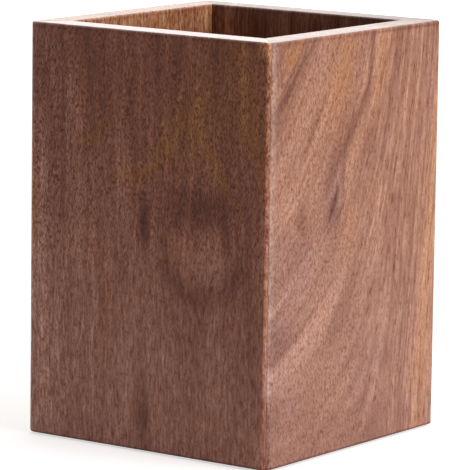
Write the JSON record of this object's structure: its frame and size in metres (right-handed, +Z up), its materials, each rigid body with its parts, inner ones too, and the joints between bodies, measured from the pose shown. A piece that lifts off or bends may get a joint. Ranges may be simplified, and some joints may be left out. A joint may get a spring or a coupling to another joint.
{
  "type": "pen holder",
  "caption": "Open square desk cup for pens: upright walnut boards mitred at rounded corners round a grooved-in base panel with felt pads.",
  "frame": {"origin": "middle of the footprint, on the plane that the felt pads rest on", "axes": "+Z up along the grain of the walls, -Y out of the front wall, which the picture shows in shade on the left, and +X out of the right wall, which it shows in light on the right"},
  "size_m": [0.075, 0.075, 0.1055],
  "materials": {
    "walnut_front": "satin oiled",
    "walnut_right": "satin oiled",
    "walnut_back": "satin oiled",
    "walnut_left": "satin oiled",
    "walnut_base": "satin oiled",
    "felt": "pressed wool felt"
  },
  "bodies": {
    "root": {"front_wall": "walnut_front", "right_wall": "walnut_right", "back_wall": "walnut_back", "left_wall": "walnut_left", "base_panel": "walnut_base", "felt_pad_front_left": "felt", "felt_pad_front_right": "felt", "felt_pad_back_left": "felt", "felt_pad_back_right": "felt"}
  },
  "joints": []
}
